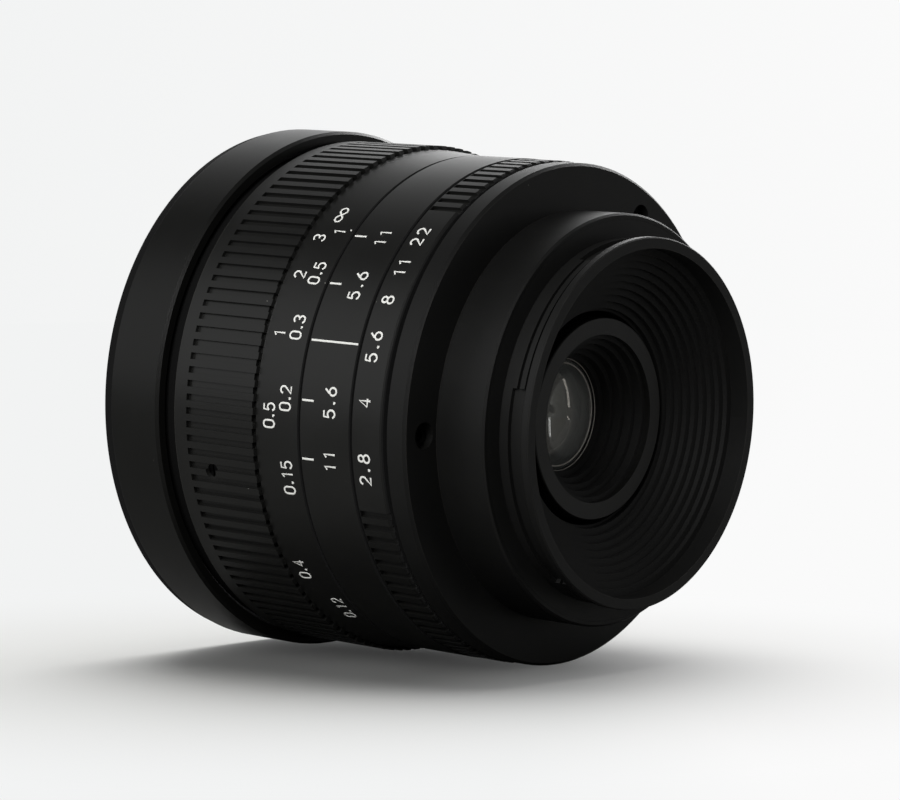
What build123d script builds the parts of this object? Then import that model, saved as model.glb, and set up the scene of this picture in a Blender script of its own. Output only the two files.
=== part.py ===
from build123d import *
import math
import os

# Wide-angle photographic lens with a bayonet, lying on its side.
# Frame: +X along the optical axis towards the camera, +Z up, origin at the centre of the bayonet's seat.
# Places along the axis are x values in mm. Angles count from +Z towards -Y.


def sag(curve, radius):
    """How far a surface's edge lies behind its vertex."""
    if curve == 0:
        return 0
    return math.copysign(abs(curve) - math.sqrt(curve ** 2 - radius ** 2), curve)


# Fits
running_gap = 0.05      # radial, between parts that turn or slide on each other
slip_gap = 0.02         # radial, between parts that are fitted once
end_play = 0.1          # axial, of a captured ring
ring_seam = 0.25        # axial, between the outer rings, seen as a dark line
screw_count = 3         # of every set of screws round the lens, except the bayonet's
socket_share = 0.6      # depth of a screw's socket, of its head
edge_break = 0.12       # small chamfer on turned edges

# Marks and travel, in degrees from the stored settings of 0.3 m and 5.6
focus_to_infinity = 31.8
focus_to_close = 68.6
focus_lead = 3.2                # mm of optics travel for one turn of the focus ring
aperture_to_open = 27.1
aperture_to_small = 27.7
travel_spare = 0.3              # room past the travel of the optics
optics_rearward = focus_lead * focus_to_infinity / 360
optics_forward = focus_lead * focus_to_close / 360

# Bayonet ring, from its seat to its rear rim
bayonet_tube_radius = 21.8
bayonet_wall = 1.0
bayonet_bore = bayonet_tube_radius - bayonet_wall
bayonet_seat_width = 2.2
bayonet_flange_radius = bayonet_tube_radius + bayonet_seat_width
bayonet_flange_depth = 1.6
rim_height = 0.35
rim_radius = bayonet_tube_radius + rim_height
rim_edge = 0.15
rim_width = 1.1
groove_width = 0.4
groove_depth = 0.5
front_groove = 1.85
rear_groove = 2.95
rim_front = rear_groove + groove_width
bayonet_rear = rim_front + rim_width
undercut_depth = 0.55
undercut_lead = 0.6             # of the undercut in front of the front groove
undercut_front = front_groove - undercut_lead
undercut_end = 27.7             # degrees, where the slot in view begins
undercut_sweep = 70.0
lug_count = 3
bayonet_screw_count = 4
bayonet_screw_radius = 0.7
bayonet_head_radius = 1.2
bayonet_head_height = 0.9
bayonet_screw_cover = 0.4       # left in front of the seat by the screw's blind hole

# Rear cover: collar, flange and the shoulder that holds the bayonet ring
collar_wall = 0.7
collar_radius = bayonet_flange_radius + collar_wall
collar_edge = 0.25
collar_depth = 7.0
collar_skin = 1.0
collar_bore = collar_radius - collar_skin
shoulder_depth = 1.6
shoulder_front = -bayonet_flange_depth - shoulder_depth
flange_face = -collar_depth
flange_thickness = 2.75
flange_edge = 0.35
cover_front = flange_face - flange_thickness
cover_spigot = 0.25
cover_plate_front = cover_front - cover_spigot
cover_hole_radius = 1.55
cover_hole_margin = 0.59
cover_hole_circle = collar_radius + cover_hole_radius + cover_hole_margin
cover_hole_angle = 93.0
cover_head_sink = 2.0
cover_head_seat = flange_face - cover_head_sink
cover_head_height = 1.1
cover_head_gap = 0.15
cover_head_radius = cover_hole_radius - cover_head_gap
cover_screw_radius = 0.85
bayonet_screw_circle = (bayonet_bore + collar_bore) / 2

# Rear baffle, a funnel whose wall climbs in steps
cell_radius = 12.16
baffle_clearance = 0.74
baffle_hole = cell_radius + baffle_clearance
baffle_land = 0.34
baffle_rim_land = 0.84
baffle_steps = 8
baffle_rear = 1.88
baffle_depth = 5.49
baffle_wall = 1.3
baffle_skirt = 1.3
baffle_step_axial = baffle_depth / (baffle_steps + 1)
baffle_step_radial = (bayonet_bore - baffle_rim_land - baffle_hole - baffle_land) / baffle_steps

# Rear flange of the main barrel, on which the aperture ring turns
cover_screw_margin = 1.36       # from the screws' circle to the edge of the flange that they hold
rear_flange_radius = cover_hole_circle + cover_screw_margin
aperture_gap = 0.6
aperture_width = 4.6
aperture_lip = 0.65
aperture_lip_depth = 1.8
aperture_wall = 2.25
aperture_rear = cover_front - aperture_gap
aperture_front = aperture_rear - aperture_width
aperture_lip_rear = aperture_front + aperture_lip
rear_flange_front = aperture_lip_rear + end_play
cover_screw_floor = 1.0
cover_screw_end = rear_flange_front + cover_screw_floor
aperture_radius = rear_flange_radius + aperture_wall
aperture_edge = 0.3
aperture_lip_bore = rear_flange_radius - aperture_lip_depth
cover_inset = 0.15
cover_radius = aperture_radius - cover_inset
cover_spigot_gap = 0.1

# Ribs of the two turning rings: the aperture ring leaves a plain window for its numbers
aperture_ribs = 116
aperture_rib_inset = 0.2
aperture_first_groove = 111.4
aperture_last_groove = 37.6
rib_groove_width = 0.8
rib_groove_depth = 0.42

# Pin by which the aperture ring turns the iris
drive_angle = 33.0
drive_pin_radius = 0.6
drive_pin_bite = 1.4
drive_pin_end = rear_flange_radius + drive_pin_bite
drive_setback = 1.5
drive_place = rear_flange_front + drive_setback
drive_slot_margin = 0.2
drive_slot_spare = 3.0          # degrees past the travel at each end

# Index ring, between the two turning rings
index_ring_width = 7.8
index_ring_rear = aperture_front - ring_seam
index_ring_front = index_ring_rear - index_ring_width
index_proud = 0.05
index_ring_radius = aperture_radius + index_proud
index_thrust_rear = aperture_front - end_play
index_thrust_width = 2.0
index_skirt_depth = 0.8
index_skirt_bore = rear_flange_radius - index_skirt_depth
index_thrust_radius = index_skirt_bore + index_thrust_width
index_screw_angle = 53.0
index_head_radius = 1.3
index_head_height = 1.0
index_screw_radius = 0.8
barrel_step = 4.2
barrel_tube_radius = rear_flange_radius - barrel_step
index_screw_circle = (barrel_tube_radius + index_skirt_bore) / 2

# Main barrel: flange that carries the index ring, journal of the focus ring, neck
barrel_flange_rise = 0.4
barrel_flange_radius = rear_flange_radius + barrel_flange_rise
barrel_flange_thickness = 1.5
index_web = 1.5
flange_inset = 0.4
barrel_flange_rear = index_ring_front + flange_inset
barrel_flange_front = barrel_flange_rear - barrel_flange_thickness
index_web_rear = barrel_flange_rear + index_web
index_screw_floor = 0.2
index_screw_end = barrel_flange_front + index_screw_floor

# Focus ring and its helicoid
focus_seam = 0.3
focus_width = 19.5
focus_rear = index_ring_front - focus_seam
focus_front = focus_rear - focus_width
focus_flange_gap = 0.35
focus_bore = barrel_flange_radius + focus_flange_gap
helicoid_wall = 1.4
helicoid_radius = focus_bore - running_gap
helicoid_thread_bore = helicoid_radius - helicoid_wall
focus_lip_depth = 0.9
focus_lip_gap = 0.4
focus_lip_bore = helicoid_thread_bore + focus_lip_gap
focus_wall = 2.5
focus_band_radius = focus_bore + focus_wall
focus_front_edge = 0.35
focus_shoulder = 0.5
focus_scale_radius = focus_band_radius - focus_shoulder
focus_inset = 0.05
focus_rear_radius = index_ring_radius - focus_inset
rib_from_front = 2.3
rib_length = 10.9
rib_runout = 0.1
focus_rib_front = focus_front + rib_from_front
focus_rib_rear = focus_rib_front + rib_length
focus_shoulder_rear = focus_rib_rear + rib_runout
focus_ribs = 120
focus_first_groove = 62.4
focus_pocket_length = 0.55      # deep end of each groove, at the shoulder
focus_pocket_depth = 0.9
helicoid_front = focus_front + focus_lip_depth + end_play
grub_from_front = 5.73
grub_place = focus_front + grub_from_front
grub_angle = 105.4
grub_radius = 0.8
grub_sink = 0.55
grub_length = 2.6
grub_slot = 0.25

# Journal and neck of the main barrel
retainer_gap = 0.3
retainer_bite = 1.2
retainer_radius = helicoid_thread_bore - retainer_gap
journal_radius = retainer_radius - retainer_bite
journal_step = 1.4
neck_radius = journal_radius - journal_step
neck_wall = 2.55
neck_bore = neck_radius - neck_wall
journal_length = 7.0
journal_front = barrel_flange_front - journal_length
retainer_thickness = 1.6
retainer_front = journal_front - retainer_thickness
retainer_notch_width = 1.4
neck_proud = 0.2
neck_front = retainer_front - neck_proud

# Guide key, which keeps the optics from turning
key_angle = 213.0
key_width = 3.0
key_length = 5.0
key_inset = 0.6
key_reach = 1.15
key_bed = 1.55
key_front = journal_front + key_inset
key_rear = key_front + key_length
key_place = (key_front + key_rear) / 2
key_inner = neck_bore - key_reach
key_outer = neck_bore + key_bed
key_slot_front = key_front - optics_rearward - travel_spare
key_slot_rear = key_rear + optics_forward + travel_spare
key_floor_gap = 0.4
key_slot_floor = key_inner - key_floor_gap
key_screw_radius = 0.7
key_screw_bite = 2.1
key_head_radius = 1.2
key_head_height = 0.8
key_head_sink = 0.1
key_screw_spread = 2.6

# Lens barrel: front cup
hood_gap = 0.4
cup_front = focus_front - hood_gap
neck_room = 0.12
cup_rear = neck_front - optics_rearward - travel_spare - neck_room
block_wall = 3.45
cup_radius = helicoid_thread_bore - running_gap - block_wall
cup_wall = 2.8
cup_bore = cup_radius - cup_wall
barrel_guide_radius = neck_bore - running_gap
guide_setback = 0.9
barrel_guide_rear = barrel_flange_rear - guide_setback
block_helicoid_inset = 0.2
block_helicoid_rear = cup_rear - block_helicoid_inset
block_helicoid_front = helicoid_front + block_helicoid_inset

# Front glasses: curves are the surfaces' radii, positive where the centre is to the rear
web_thickness = 1.2
web_setback = 1.0
inner_group_front = key_slot_front - web_setback
second_glass_seat = inner_group_front - web_thickness
second_glass_radius = 13.0
second_glass_edge = 2.0
second_glass_bends = (2.154, 0.731)
second_glass_curves = tuple(bend * second_glass_radius for bend in second_glass_bends)
second_glass_land = 1.0
second_glass_hollow_share = 0.572
second_glass_hollow = second_glass_hollow_share * second_glass_radius
second_glass_clear = (second_glass_radius - second_glass_land, second_glass_hollow)
front_spacer_wall = 0.9
front_spacer_bore = second_glass_radius - front_spacer_wall
front_spacer_length = 1.22
front_glass_seat = second_glass_seat - second_glass_edge - front_spacer_length
seal_width = 1.2
front_glass_radius = cup_bore - seal_width
front_glass_edge = 1.98
front_glass_bends = (1.25, 0.625)       # its curves in radii of the glass
front_glass_curves = tuple(bend * front_glass_radius for bend in front_glass_bends)
front_glass_hollow_share = 0.61
front_glass_hollow = front_glass_hollow_share * front_glass_radius
front_glass_clear = (front_glass_radius, front_glass_hollow)
front_glass_land = front_glass_seat - front_glass_edge
front_glass_proud = 0.55        # of the glass's edge in front of the seal's seat
cup_seat = front_glass_land + front_glass_proud

# Inner glasses, between the web and the iris
inner_glass_radius = 10.0
inner_glass_land = 0.8
inner_clear = inner_glass_radius - inner_glass_land
inner_edges = (4.67, 1.13, 0.95)
inner_bends = (-3.0, 2.2, -2.4, 3.0)
inner_curves = tuple(bend * inner_glass_radius for bend in inner_bends)
inner_glass_gap = 0.27          # between the two surfaces that bulge towards each other
inner_spacer_length = sag(inner_curves[3], inner_clear) - sag(inner_curves[2], inner_clear) + inner_glass_gap
inner_ring_wall = 0.7
inner_retainer_thickness = 0.5
web_lip = 0.6
web_hole = inner_glass_radius - web_lip
inner_cement_land = inner_group_front + inner_edges[0]
inner_rear_land = inner_cement_land + inner_edges[1]
inner_spacer_rear = inner_rear_land + inner_spacer_length
inner_last_face = inner_spacer_rear + inner_edges[2]
iris_front = inner_last_face + inner_retainer_thickness

# Iris
iris_open_radius = 3.3
iris_base_thickness = 0.8
iris_base_lip = 0.3
blade_count = 8
blade_thickness = 0.1
blade_gap = 0.06
blade_pitch = blade_thickness + blade_gap
blade_width = 3.2
blade_head_angle = -8.0
blade_tail_angle = 128.0
blade_turn = 20.9               # degrees of a blade between 2.8 and 22
pivot_stem = 1.5
pivot_circle = iris_open_radius + blade_width + pivot_stem
pivot_radius = 0.3
pivot_ear_radius = 0.75
stem_overlap = 1.0
arm_length = 5.3
arm_half_width = 0.5
blade_pin_radius = 0.25
pin_inset = 0.1
slot_gap = 0.05
slot_spare = 0.6                # degrees past the travel at each end
slot_stations = 13
cam_ring_thickness = 0.8
cam_ring_rim = 1.19
cam_ring_lip = 0.2
cam_ring_bore = pivot_circle + cam_ring_lip
pin_reach = math.hypot(pivot_circle + arm_length * math.sin(math.radians(blade_turn)),
                       arm_length * math.cos(math.radians(blade_turn)))
iris_bore = pin_reach + cam_ring_rim
iris_retainer_thickness = 1.1
iris_retainer_lip = 1.0
iris_retainer_hole = pivot_circle - iris_retainer_lip
blade_ratio = blade_turn / (aperture_to_open + aperture_to_small)
blade_stored = blade_ratio * aperture_to_open
blades_front = iris_front + iris_base_thickness + blade_gap
cam_ring_front = blades_front + blade_pitch * blade_count + blade_gap
cam_ring_rear = cam_ring_front + cam_ring_thickness
iris_retainer_front = cam_ring_rear + end_play
cell_thread_front = iris_retainer_front + iris_retainer_thickness

# Rear end of the lens barrel and the fork beside it
iris_wall = 2.25
rear_tube_radius = iris_bore + iris_wall
rear_tube_wall = 1.6
cell_thread_radius = rear_tube_radius - rear_tube_wall
cell_thread_length = 3.2
rear_tube_rear = cell_thread_front + cell_thread_length
relief_setback = 1.0
relief_front = key_slot_front + relief_setback
guide_wall = 0.7
relief_radius = key_slot_floor - guide_wall
window_gap = 0.1
window_half_angle = 38.0
tongue_width = 3.6
fork_width = 4.0
fork_gap = 0.4
fork_thickness = 2.0
fork_inner = rear_tube_radius + fork_gap
fork_outer = fork_inner + fork_thickness
fork_middle = (fork_inner + fork_outer) / 2
fork_rear = drive_place + drive_pin_radius + optics_forward + travel_spare
fork_slot_front = drive_place - drive_pin_radius - optics_rearward - travel_spare
fork_screw_spread = 2.4
fork_screw_radius = 0.4
fork_head_radius = 0.7
fork_head_height = 0.5
fork_screw_depth = 2.0
screw_tip_gap = 0.2
barrel_tube_clearance = 0.6
barrel_tube_bore = fork_outer + barrel_tube_clearance

# Rear glasses and the cell that holds them
rear_glass_radius = 7.6
cell_lip = 0.5
cell_lip_hole = 5.2
cell_lip_rear = cell_thread_front + cell_lip
doublet_edges = (2.69, 0.51)
doublet_curves = (-25, 12, -14)
doublet_land_width = 2.0
doublet_clear = rear_glass_radius - doublet_land_width
rear_spacer_length = 2.2
rear_spacer_wall = 0.65
rear_spacer_bore = rear_glass_radius - rear_spacer_wall
rear_glass_edge = 2.4
rear_glass_curves = (30, -14)
rear_glass_land = 0.9
rear_clear = rear_glass_radius - rear_glass_land
doublet_cement_land = cell_lip_rear + doublet_edges[0]
doublet_land = doublet_cement_land + doublet_edges[1]
last_glass_land = doublet_land + rear_spacer_length
cell_bore_front = last_glass_land + rear_glass_edge
cell_wall = 2.06
cell_bore = cell_radius - cell_wall
cell_collar_gap = 0.2
cell_rear = -2.5
cell_retainer_sink = 0.8
cell_retainer_steps = 5
cell_retainer_rim = 0.55
cell_retainer_mouth = cell_bore - cell_retainer_rim
cell_retainer_gap = 0.15
cell_retainer_hole = rear_clear + cell_retainer_gap

# Hood and the rings in front
hood_inset = 0.85
hood_radius = focus_band_radius - hood_inset
hood_wall = 1.4
hood_bore = hood_radius - hood_wall
hood_length = 8.8
hood_tip = cup_front - hood_length
hood_notch_depth = 4.6
hood_notch_width = 21.0
hood_notch_round = 2.76
hood_notches = 4
hood_web = 1.2
hood_web_front = cup_front - hood_web
hood_screw_circle = (cup_bore + cup_radius) / 2
hood_screw_radius = 0.7
hood_head_radius = 1.2
hood_head_height = 0.7
hood_screw_depth = 3.0
cross_slot = 0.25
trim_thickness = 0.6
trim_rise = 0.4
trim_overlap = 0.3
trim_bore = cup_bore - trim_overlap
trim_gap = 0.1
retaining_wall = 0.6
retaining_sink = 0.2
retaining_front = cup_front + retaining_sink
seal_thickness = 0.7
retaining_rear = cup_seat - seal_thickness
retaining_overlap = 1.4
retaining_lip_radius = front_glass_radius - retaining_overlap
retaining_lip_edge = 0.55
retaining_glass_gap = 0.35

# Cap
liner_gap = 0.15
liner_thickness = 0.5
cap_wall = 1.35
cap_bore = hood_radius + liner_gap + liner_thickness
cap_radius = cap_bore + cap_wall
cap_face = 1.5
cap_tip_gap = 0.1
cap_inner_face = hood_tip - cap_tip_gap
cap_front = cap_inner_face - cap_face
cap_setback = 1.1
cap_rear = cup_front - cap_setback
cap_bevel_length = 1.6
cap_bevel_drop = 0.36
cap_round = 0.3
cap_rear_edge = 0.35
liner_inset = 0.7

past = 1.0                      # how far a cutter runs past the face that it cuts


def turned(points):
    """A solid of revolution about the optical axis from (x, radius) corners."""
    outline = Polyline(*[(x, r, 0) for x, r in points], close=True)
    return revolve(make_face(outline), Axis.X, 360)


def tube(front, rear, inner, outer):
    return turned([(front, inner), (front, outer), (rear, outer), (rear, inner)])


def around(shape, angle):
    return Rot(angle, 0, 0) * shape


def spread(shape, count, first):
    return [around(shape, first + 360 * k / count) for k in range(count)]


def axial_rod(front, rear, radius, circle):
    return Pos((front + rear) / 2, 0, circle) * Rot(0, 90, 0) * Cylinder(radius, rear - front)


def radial_rod(place, inner, outer, radius):
    return Pos(place, 0, (inner + outer) / 2) * Cylinder(radius, outer - inner)


def sector(front, rear, inner, outer, from_angle, to_angle):
    """Part of a tube between two angles."""
    outline = Polyline((front, inner, 0), (front, outer, 0), (rear, outer, 0), (rear, inner, 0), close=True)
    wedge = revolve(make_face(outline), Axis.X, to_angle - from_angle)
    return around(Rot(90, 0, 0) * wedge, from_angle)


def key_socket(mouth, depth, across, circle):
    """A hexagon socket for cutting, from its mouth towards the rear where depth is positive."""
    prism = extrude(Plane.YZ * RegularPolygon(across / 2, 6, major_radius=False), depth)
    return Pos(mouth, 0, circle) * prism


def group(shapes):
    return Compound(children=list(shapes))


def meridian(vertex, curve, radius):
    """The line of a glass surface from the axis to a radius."""
    end = (vertex + sag(curve, radius), radius, 0)
    if curve == 0:
        return Line((vertex, 0, 0), end)
    middle = (vertex + sag(curve, radius / 2), radius / 2, 0)
    return ThreePointArc((vertex, 0, 0), middle, end)


def glass(lands, curves, clears, rim):
    """A lens element between two flat edge lands, each with its polished surface inside a clear radius."""
    vertices = [land - sag(curve, clear) for land, curve, clear in zip(lands, curves, clears)]
    edges = [Line((vertices[0], 0, 0), (vertices[1], 0, 0)), Line((lands[0], rim, 0), (lands[1], rim, 0))]
    for vertex, land, curve, clear in zip(vertices, lands, curves, clears):
        edges.append(meridian(vertex, curve, clear))
        if rim > clear:
            edges.append(Line((land, clear, 0), (land, rim, 0)))
    return revolve(make_face(edges), Axis.X, 360)


# Mount end

def rear_cover():
    seat = bayonet_flange_radius + slip_gap
    spigot_radius = rear_flange_radius - cover_spigot_gap
    body = turned([
        (cover_plate_front, collar_bore), (cover_plate_front, spigot_radius), (cover_front, spigot_radius),
        (cover_front, cover_radius - edge_break), (cover_front + edge_break, cover_radius),
        (flange_face - flange_edge, cover_radius), (flange_face, cover_radius - flange_edge),
        (flange_face, collar_radius), (-collar_edge, collar_radius), (0, collar_radius - collar_edge),
        (0, seat), (-bayonet_flange_depth, seat), (-bayonet_flange_depth, bayonet_bore),
        (shoulder_front, bayonet_bore), (shoulder_front, collar_bore)])
    sink = axial_rod(cover_head_seat, flange_face + past, cover_hole_radius, cover_hole_circle)
    shank = axial_rod(cover_plate_front - past, cover_head_seat, cover_screw_radius + slip_gap,
                      cover_hole_circle)
    body = body - spread(sink + shank, screw_count, cover_hole_angle)
    hole = axial_rod(shoulder_front - past, 0, bayonet_screw_radius + slip_gap, bayonet_screw_circle)
    return body - spread(hole, bayonet_screw_count, cover_hole_angle)


def cover_screws():
    top = cover_head_seat + cover_head_height
    head = axial_rod(cover_head_seat, top, cover_head_radius, cover_hole_circle)
    socket = key_socket(top, -socket_share * cover_head_height, cover_head_radius, cover_hole_circle)
    shank = axial_rod(cover_screw_end, cover_head_seat, cover_screw_radius, cover_hole_circle)
    return group(spread(head - socket + shank, screw_count, cover_hole_angle))


def bayonet_ring():
    groove_floor = bayonet_tube_radius - groove_depth
    body = turned([
        (-bayonet_flange_depth, bayonet_bore), (-bayonet_flange_depth, bayonet_flange_radius),
        (0, bayonet_flange_radius), (0, bayonet_tube_radius), (front_groove, bayonet_tube_radius),
        (front_groove, groove_floor), (front_groove + groove_width, groove_floor),
        (front_groove + groove_width, bayonet_tube_radius), (rear_groove, bayonet_tube_radius),
        (rear_groove, groove_floor), (rim_front, groove_floor), (rim_front, rim_radius - rim_edge),
        (rim_front + rim_edge, rim_radius), (bayonet_rear - rim_edge, rim_radius),
        (bayonet_rear, rim_radius - rim_edge), (bayonet_rear, bayonet_bore)])
    slot = sector(undercut_front, rim_front, bayonet_tube_radius - undercut_depth, rim_radius + past,
                  undercut_end - undercut_sweep, undercut_end)
    body = body - spread(slot, lug_count, 0)
    hole = axial_rod(-bayonet_flange_depth - past, -bayonet_screw_cover, bayonet_screw_radius,
                     bayonet_screw_circle)
    return body - spread(hole, bayonet_screw_count, cover_hole_angle)


def bayonet_screws():
    top = shoulder_front - bayonet_head_height
    head = axial_rod(top, shoulder_front, bayonet_head_radius, bayonet_screw_circle)
    socket = key_socket(top, socket_share * bayonet_head_height, bayonet_head_radius, bayonet_screw_circle)
    shank = axial_rod(shoulder_front, -bayonet_screw_cover, bayonet_screw_radius, bayonet_screw_circle)
    return group(spread(head - socket + shank, bayonet_screw_count, cover_hole_angle))


def rear_baffle():
    """A funnel whose wall climbs to the rear in sharp steps that trap stray light."""
    level = baffle_rear - baffle_depth
    radius = baffle_hole + baffle_land
    skirt_radius = bayonet_bore - baffle_skirt
    slope = baffle_step_axial / baffle_step_radial
    points = [(level, baffle_hole)]
    for _ in range(baffle_steps):
        points += [(level, radius), (level + baffle_step_axial, radius)]
        level += baffle_step_axial
        radius += baffle_step_radial
    cone_front = baffle_rear - baffle_depth - baffle_wall
    points += [(level, radius), (baffle_rear, radius), (baffle_rear, bayonet_bore),
               (shoulder_front, bayonet_bore), (shoulder_front, skirt_radius),
               (cone_front + slope * (skirt_radius - baffle_hole), skirt_radius), (cone_front, baffle_hole)]
    return turned(points)


# Fixed barrel

def drive_slot():
    half = drive_pin_radius + drive_slot_margin
    return sector(drive_place - half, drive_place + half, barrel_tube_bore - past, rear_flange_radius + past,
                  drive_angle - aperture_to_open - drive_slot_spare,
                  drive_angle + aperture_to_small + drive_slot_spare)


def key_block():
    return Pos(key_place, 0, (key_inner + key_outer) / 2) * Box(key_length, key_width, key_outer - key_inner)


def key_screw_places():
    return (key_place - key_screw_spread / 2, key_place + key_screw_spread / 2)


def main_barrel():
    body = turned([
        (neck_front, neck_bore), (neck_front, neck_radius), (journal_front, neck_radius),
        (journal_front, journal_radius), (barrel_flange_front, journal_radius),
        (barrel_flange_front, barrel_flange_radius), (barrel_flange_rear, barrel_flange_radius),
        (barrel_flange_rear, barrel_tube_radius), (rear_flange_front, barrel_tube_radius),
        (rear_flange_front, rear_flange_radius), (cover_plate_front, rear_flange_radius),
        (cover_plate_front, barrel_tube_bore), (barrel_flange_rear, barrel_tube_bore),
        (barrel_flange_rear, neck_bore)])
    body = body - drive_slot()
    hole = axial_rod(cover_screw_end, cover_plate_front + past, cover_screw_radius, cover_hole_circle)
    body = body - spread(hole, screw_count, cover_hole_angle)
    hole = axial_rod(barrel_flange_front - past, barrel_flange_rear + past, index_screw_radius,
                     index_screw_circle)
    body = body - spread(hole, screw_count, index_screw_angle)
    cuts = [key_block()]
    head_seat = journal_radius - key_head_height
    for place in key_screw_places():
        cuts.append(radial_rod(place, key_inner, journal_radius + past, key_screw_radius))
        cuts.append(radial_rod(place, head_seat, journal_radius + past, key_head_radius + slip_gap))
    return body - [around(cut, key_angle) for cut in cuts]


def guide_key():
    tip = key_outer - key_screw_bite
    holes = [radial_rod(place, tip, key_outer + past, key_screw_radius) for place in key_screw_places()]
    return around(key_block() - holes, key_angle)


def guide_key_screws():
    tip = key_outer - key_screw_bite
    seat = journal_radius - key_head_height
    top = journal_radius - key_head_sink
    screws = []
    for place in key_screw_places():
        cross = Pos(place, 0, top) * (Box(cross_slot, key_head_radius, key_head_height)
                                      + Box(key_head_radius, cross_slot, key_head_height))
        screw = radial_rod(place, tip, seat, key_screw_radius) + radial_rod(place, seat, top, key_head_radius)
        screws.append(around(screw - cross, key_angle))
    return group(screws)


def focus_retaining_ring():
    ring = tube(retainer_front, journal_front, neck_radius, retainer_radius)
    width = retainer_radius - neck_radius
    notch = Pos(retainer_front, 0, (neck_radius + retainer_radius) / 2) * Box(
        retainer_thickness / 2, retainer_notch_width, width + 2 * past)
    return ring - spread(notch, 2, 0)


def index_ring():
    flange_bore = barrel_flange_radius + running_gap
    web_bore = barrel_tube_radius + slip_gap
    body = turned([
        (index_ring_front, flange_bore), (index_ring_front, index_ring_radius - edge_break),
        (index_ring_front + edge_break, index_ring_radius), (index_ring_rear - edge_break, index_ring_radius),
        (index_ring_rear, index_ring_radius - edge_break), (index_ring_rear, index_thrust_radius),
        (index_thrust_rear, index_thrust_radius), (index_thrust_rear, index_skirt_bore),
        (index_web_rear, index_skirt_bore), (index_web_rear, web_bore), (barrel_flange_rear, web_bore),
        (barrel_flange_rear, flange_bore)])
    hole = axial_rod(barrel_flange_rear - past, index_web_rear + past, index_screw_radius + slip_gap,
                     index_screw_circle)
    return body - spread(hole, screw_count, index_screw_angle)


def index_ring_screws():
    top = index_web_rear + index_head_height
    head = axial_rod(index_web_rear, top, index_head_radius, index_screw_circle)
    socket = key_socket(top, -socket_share * index_head_height, index_head_radius, index_screw_circle)
    shank = axial_rod(index_screw_end, index_web_rear, index_screw_radius, index_screw_circle)
    return group(spread(head - socket + shank, screw_count, index_screw_angle))


# Focus ring

def rib_grooves(front, rear, radius, depth, count, first):
    """Cutters for all the grooves between the ribs of a ring, by angle."""
    cutter = Pos((front + rear) / 2, 0, radius) * Box(rear - front, rib_groove_width, 2 * depth)
    angles = [(first + 360 * k / count) % 360 for k in range(count)]
    return {angle: around(cutter, angle) for angle in angles}


def focus_ring():
    body = turned([
        (focus_front, focus_lip_bore), (focus_front, focus_band_radius - focus_front_edge),
        (focus_front + focus_front_edge, focus_band_radius), (focus_rib_rear, focus_band_radius),
        (focus_shoulder_rear, focus_scale_radius), (focus_rear - edge_break, focus_rear_radius),
        (focus_rear, focus_rear_radius - edge_break), (focus_rear, focus_bore),
        (focus_front + focus_lip_depth, focus_bore), (focus_front + focus_lip_depth, focus_lip_bore)])
    hole = radial_rod(grub_place, focus_bore - past, focus_band_radius + past, grub_radius + slip_gap)
    body = body - spread(hole, screw_count, grub_angle)
    grooves = rib_grooves(focus_rib_front, focus_shoulder_rear, focus_band_radius, rib_groove_depth,
                          focus_ribs, focus_first_groove)
    pockets = rib_grooves(focus_rib_rear - focus_pocket_length, focus_shoulder_rear, focus_band_radius,
                          focus_pocket_depth, focus_ribs, focus_first_groove)
    return body - list(grooves.values()) - list(pockets.values())


def focus_helicoid():
    rear = barrel_flange_front - end_play
    shoulder = journal_front + end_play
    journal_bore = journal_radius + running_gap
    body = turned([
        (helicoid_front, helicoid_thread_bore), (helicoid_front, helicoid_radius), (rear, helicoid_radius),
        (rear, journal_bore), (shoulder, journal_bore), (shoulder, helicoid_thread_bore)])
    tip = focus_band_radius - grub_sink - grub_length
    dimple = radial_rod(grub_place, tip, helicoid_radius + past, grub_radius + slip_gap)
    return body - spread(dimple, screw_count, grub_angle)


def focus_set_screws():
    top = focus_band_radius - grub_sink
    rod = radial_rod(grub_place, top - grub_length, top, grub_radius)
    slot = Pos(grub_place, 0, top) * Box(grub_slot, 2 * grub_radius, grub_radius)
    return group(spread(rod - slot, screw_count, grub_angle))


# Aperture ring

def aperture_ring():
    bore = rear_flange_radius + running_gap
    body = turned([
        (aperture_front, aperture_lip_bore), (aperture_front, aperture_radius - edge_break),
        (aperture_front + edge_break, aperture_radius), (aperture_rear - aperture_edge, aperture_radius),
        (aperture_rear, aperture_radius - aperture_edge), (aperture_rear, bore), (aperture_lip_rear, bore),
        (aperture_lip_rear, aperture_lip_bore)])
    hole = radial_rod(drive_place, aperture_lip_bore, drive_pin_end, drive_pin_radius)
    body = body - around(hole, drive_angle)
    grooves = rib_grooves(aperture_front + aperture_rib_inset, aperture_rear, aperture_radius,
                          rib_groove_depth, aperture_ribs, aperture_first_groove)
    half_pitch = 180 / aperture_ribs
    low = aperture_last_groove + half_pitch
    high = aperture_first_groove - half_pitch
    return body - [cut for angle, cut in grooves.items() if not low < angle < high]


def aperture_drive_pin():
    pin = radial_rod(drive_place, fork_inner + running_gap, drive_pin_end, drive_pin_radius)
    return around(pin, drive_angle)


# Lens barrel and its helicoid

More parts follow.
